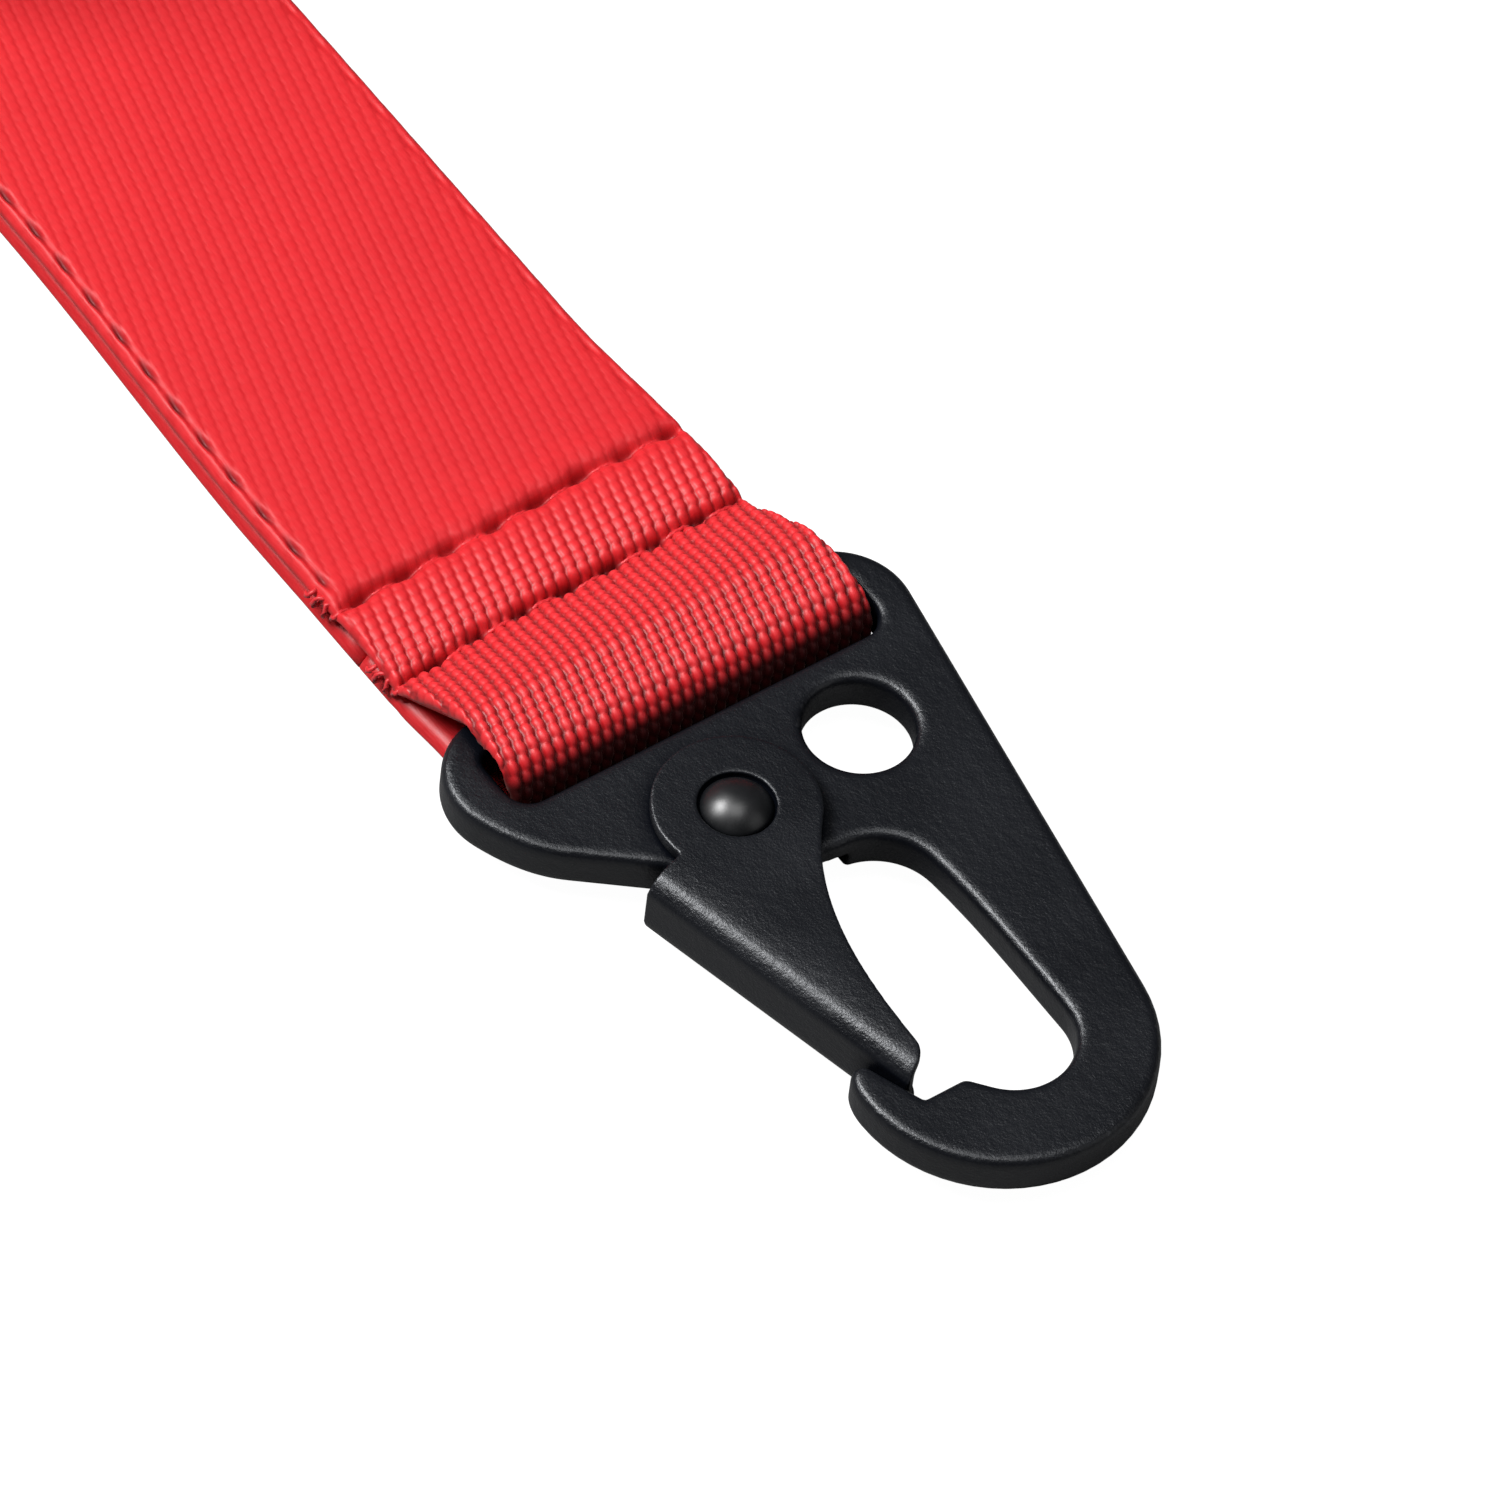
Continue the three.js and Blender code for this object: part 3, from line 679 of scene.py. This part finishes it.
def spread_out(x, across):
    """Where a place on the webbing ends up across it: the sewn part is pressed wider."""
    sewn_wide = smooth(x, RISE_END - 18 * MM, RISE_END - 6 * MM)
    lower_wide = smooth(x, RISE_END - 42 * MM, RISE_END - 14 * MM)
    widening = np.where(across < 0, 0.066 * lower_wide, 0.05 * sewn_wide)
    risen = 0.3 * MM * smooth(x, RISE_END, RISE_END + 5 * MM)
    return across * (0.98 + widening) - 0.1 * MM * (1 - sewn_wide) + risen


def beads(along, across):
    """Height of the weave from 0, between the beads, to 1, on top of one."""
    chain = across / NEXT_CHAIN_STEP[1] - along * CHAIN_STEP[1] / (CHAIN_STEP[0] * NEXT_CHAIN_STEP[1])
    place = along / CHAIN_STEP[0]
    height = np.zeros_like(along)
    for chain_step in (-1, 0, 1):
        for place_step in (-1, 0, 1):
            n, m = np.round(chain) + chain_step, np.round(place) + place_step
            off_along = along - m * CHAIN_STEP[0]
            off_across = across - n * NEXT_CHAIN_STEP[1] - m * CHAIN_STEP[1]
            long = off_along * math.cos(BEAD_SLANT) + off_across * math.sin(BEAD_SLANT)
            short = off_across * math.cos(BEAD_SLANT) - off_along * math.sin(BEAD_SLANT)
            left = 1 - (long / BEAD_HALF_LENGTH) ** 2 - (short / BEAD_HALF_WIDTH) ** 2
            height = np.maximum(height, np.sqrt(np.clip(left, 0, 1)))
    return height


def skin(name, points, count, ring):
    """A closed mesh over rings of points, one ring after another, with a cap at each end."""
    index = np.arange(count * ring).reshape(count, ring)
    following = np.roll(index, -1, axis=1)
    quads = np.stack([index[:-1], following[:-1], following[1:], index[1:]], axis=2)
    faces = [*quads.reshape(-1, 4).tolist(), index[0][::-1].tolist(), index[-1].tolist()]
    mesh = bpy.data.meshes.new(name)
    mesh.from_pydata(points.reshape(-1, 3).tolist(), [], faces)
    return shade_smooth(mesh)


def strap_section():
    """The section is a closed ring: the beaded outer face, then the inner face back.

    Gives each point's place across, its height from the middle, and its face, 1 or -1.
    """
    half = WEB_WIDTH / 2
    outer = np.linspace(-half, half, round(WEB_WIDTH / ACROSS_STEP) + 1)
    inner = np.linspace(half, -half, round(WEB_WIDTH / INNER_STEP) + 1)[1:-1]
    across = np.concatenate([outer, inner])
    face = np.concatenate([np.ones(len(outer)), -np.ones(len(inner))])
    into_border = np.clip((np.abs(across) - half + BORDER_ROUND) / BORDER_ROUND, 0, 1)
    rounded = np.sqrt(np.clip(1 - into_border**2, 0.02, 1))
    return across, face * rounded * WEB_THICKNESS / 2, face


def strap_paint(mesh, name, values):
    attribute = mesh.attributes.new(name, "FLOAT", "POINT")
    attribute.data.foreach_set("value", values.astype(np.float32).ravel())


def make_strap(material):
    """The webbing as one woven strip along its middle line. Returns it and its length."""
    middle = np.array(strap_middle())
    count = len(middle)
    ahead = np.empty_like(middle)
    ahead[1:-1] = middle[2:] - middle[:-2]
    ahead[0], ahead[-1] = middle[1] - middle[0], middle[-1] - middle[-2]
    ahead /= np.linalg.norm(ahead, axis=1)[:, None]
    steps = np.append(np.linalg.norm(np.diff(middle, axis=0), axis=1), 0)
    along = np.concatenate([[0], np.cumsum(steps)[:-1]])
    local_step = np.maximum(steps, np.roll(steps, 1))
    across, height, face = strap_section()
    ring = len(across)

    # One row of each table is one ring: s runs along the webbing and w across it.
    s, w = np.meshgrid(along, across, indexing="ij")
    x, z = (np.repeat(middle[:, k][:, None], ring, axis=1) for k in (0, 1))
    on_outer = np.repeat((face > 0)[None, :], count, axis=0)
    fine = np.repeat((local_step < 3 * FINE_STEP)[:, None], ring, axis=1)
    bead = np.where(on_outer & fine, beads(s, w), 0.6)
    bent = smooth(x, RISE_END - 9 * MM, RISE_END + 3 * MM)
    bead_height = BEAD_HEIGHT + (BEND_BEAD_HEIGHT - BEAD_HEIGHT) * bent
    weave = np.where(on_outer, bead_height * (bead - 1), 0)

    seams_here = on_outer & (z < DOUBLE) & (x > EDGE_ROW_END - 2 * MM)
    sewn = np.where(seams_here, seam_relief(x, w), 0)
    under = z < WEB_THICKNESS
    sewn = np.where(under, 0.3 * np.minimum(sewn, 0), sewn)
    rise_share = np.clip((x - RISE_END) / (BAR_X - RISE_END), 0, 1)
    sewn += np.where(on_outer & ~under, 0.15 * MM * np.sin(math.pi * rise_share), 0)

    lift = height[None, :] + weave + sewn
    outward_x, outward_z = ahead[:, 1][:, None], -ahead[:, 0][:, None]
    places = [x + outward_x * lift, spread_out(x, w), z + outward_z * lift]
    points = lean(np.stack(places, axis=2).reshape(-1, 3))
    points[:, 2] = np.maximum(points[:, 2], 0)
    mesh = skin("webbing", points, count, ring)

    # Painted shade between the beads: darker where the weave dips, more so on the bend, and evened out
    # on the flat run.
    flatter = 0.78 * (1 - bent)
    shade = bead ** (1 + 0.35 * bent) * (1 - flatter) + 0.8 * flatter
    strap_paint(mesh, "bead_shade", np.where(on_outer, shade, 0.4))
    # Painted shade: the loop is darkened where it goes down into the slot and on its front, the sunk
    # seams are darkened, the flat run is dimmed a little, and the lower edge row's needle holes get
    # painted shadows.
    in_slot = smooth(x, LOOP_X, LOOP_X + 1 * MM)
    in_slot = in_slot * smooth(z, PLATE_HIGH.z + 0.8 * MM, PLATE_HIGH.z - 0.3 * MM)
    sunk = smooth(-sewn, 0.15 * MM, 0.8 * MM) * (bent + 0.6 * (1 - bent))
    front = smooth(x, LOOP_X + 0.9 * MM, LOOP_X + 2.1 * MM)
    dark = np.maximum.reduce([in_slot, 0.85 * sunk, 0.11 * (1 - bent), 0.42 * front])
    dark = np.where(on_outer & ~under, np.maximum(dark, row_shadow(x, w)), dark)
    strap_paint(mesh, "painted_shade", dark)

    layer = mesh.uv_layers.new(name="strap")
    corners = np.zeros(len(mesh.loops), np.int32)
    mesh.loops.foreach_get("vertex_index", corners)
    coordinates = np.stack([s.ravel()[corners], w.ravel()[corners]], axis=1)
    layer.data.foreach_set("uv", coordinates.astype(np.float32).ravel())
    nodes = ("strap_webbing", "strap_roll")
    return add_piece("webbing", mesh, material, "strap", "webbing", *nodes), along[-1]


# ---- stitches --------------------------------------------------------------------------------


def thread(name, path):
    """A closed tube along the path, of two plies that twist round it."""
    ahead = np.gradient(path, axis=0)
    ahead /= np.linalg.norm(ahead, axis=1)[:, None]
    side = np.cross(ahead, (0.0, 0.0, 1.0))
    side /= np.linalg.norm(side, axis=1)[:, None]
    up = np.cross(side, ahead)
    gone = np.concatenate([[0], np.cumsum(np.linalg.norm(np.diff(path, axis=0), axis=1))])
    angles = 2 * math.pi * np.arange(THREAD_SIDES) / THREAD_SIDES
    twist = 2 * math.pi * gone / PLY_PITCH
    ply = 0.5 - 0.5 * np.cos(2 * (angles[None, :] - twist[:, None]))
    swell = THREAD_RADIUS * (1 - PLY_DEPTH * ply)
    points = (
        path[:, None, :]
        + side[:, None, :] * (np.cos(angles)[None, :] * swell)[:, :, None]
        + up[:, None, :] * (np.sin(angles)[None, :] * swell)[:, :, None]
    )
    return skin(name, points, len(path), THREAD_SIDES)


def cross_row(middle, seed):
    """Places along a cross seam, and how near each is to a needle hole."""
    reach = WEB_WIDTH / 2 - SEAM_MARGIN
    across = np.linspace(-reach, reach, math.ceil(2 * reach / STITCH_STEP))
    return seam_line(middle, across, seed), across, needle_hole(across, seed, 1)


def edge_row(side):
    """Places along the row of stitches at one edge, as cross_row gives them."""
    x = np.linspace(EDGE_ROW_START, EDGE_ROW_END, math.ceil(EDGE_ROW_LENGTH / STITCH_STEP))
    return x, np.full_like(x, side * EDGE_ROW_Y), needle_hole(x - EDGE_ROW_START, 0.0, 1)


def stitch_path(x, across, hole, side, sunk):
    """Dives at each needle hole and stands proud between two holes."""
    top = DOUBLE + np.minimum(seam_relief(x, across), 0) - sunk - STITCH_DIVE * hole**2
    height = top if side > 0 else np.maximum(DOUBLE - top, 0) * 0.5 + THREAD_RADIUS
    return lean(np.stack([x, spread_out(x, across), height], axis=1))


def thread_tail(start):
    """The end of a cross seam's thread, wound loosely round the webbing's lower edge."""
    share = np.linspace(0, 1, round(TAIL_LENGTH / STITCH_STEP * 2))[1:]
    angle = 2 * math.pi * TAIL_TURNS * share
    radius = TAIL_COIL * (1 + 0.3 * np.sin(2.3 * angle))
    x = start[0] - TAIL_LENGTH * share + 0.3 * TAIL_COIL * np.sin(1.7 * angle)
    y = start[1] - radius * np.sin(angle) * 0.8 - 0.45 * MM * np.sqrt(share)
    z = start[2] + radius * (np.cos(angle) - 1) * 1.1
    return np.stack([x, y, z], axis=1)


def make_stitches(material):
    rows = {
        "front_seam": cross_row(*SEAMS[0]),
        "rear_seam": cross_row(*SEAMS[1]),
        "right_edge": edge_row(-1),
        "left_edge": edge_row(1),
    }
    for row, places in rows.items():
        crosses = row in ("front_seam", "rear_seam")
        for kind, side in (("needle", 1), ("bobbin", -1)):
            path = stitch_path(*places, side, CROSS_SUNK if crosses else EDGE_SUNK)
            if crosses and side > 0:
                path = np.concatenate([thread_tail(path[0])[::-1], path])
            name = f"{row}_{kind}_stitches"
            mesh = thread(name, path)
            add_piece(name, mesh, material, "strap", "sewing_thread", f"{row}_{kind}_thread")


# ---- making ----------------------------------------------------------------------------------

away_from_camera, to_the_right = make_camera()
strap, strap_run = make_strap(webbing())
make_stitches(sewing_thread())
make_metal(coated_steel(), rivet_steel(), spring_steel())
make_studio(away_from_camera, to_the_right)
make_floor()
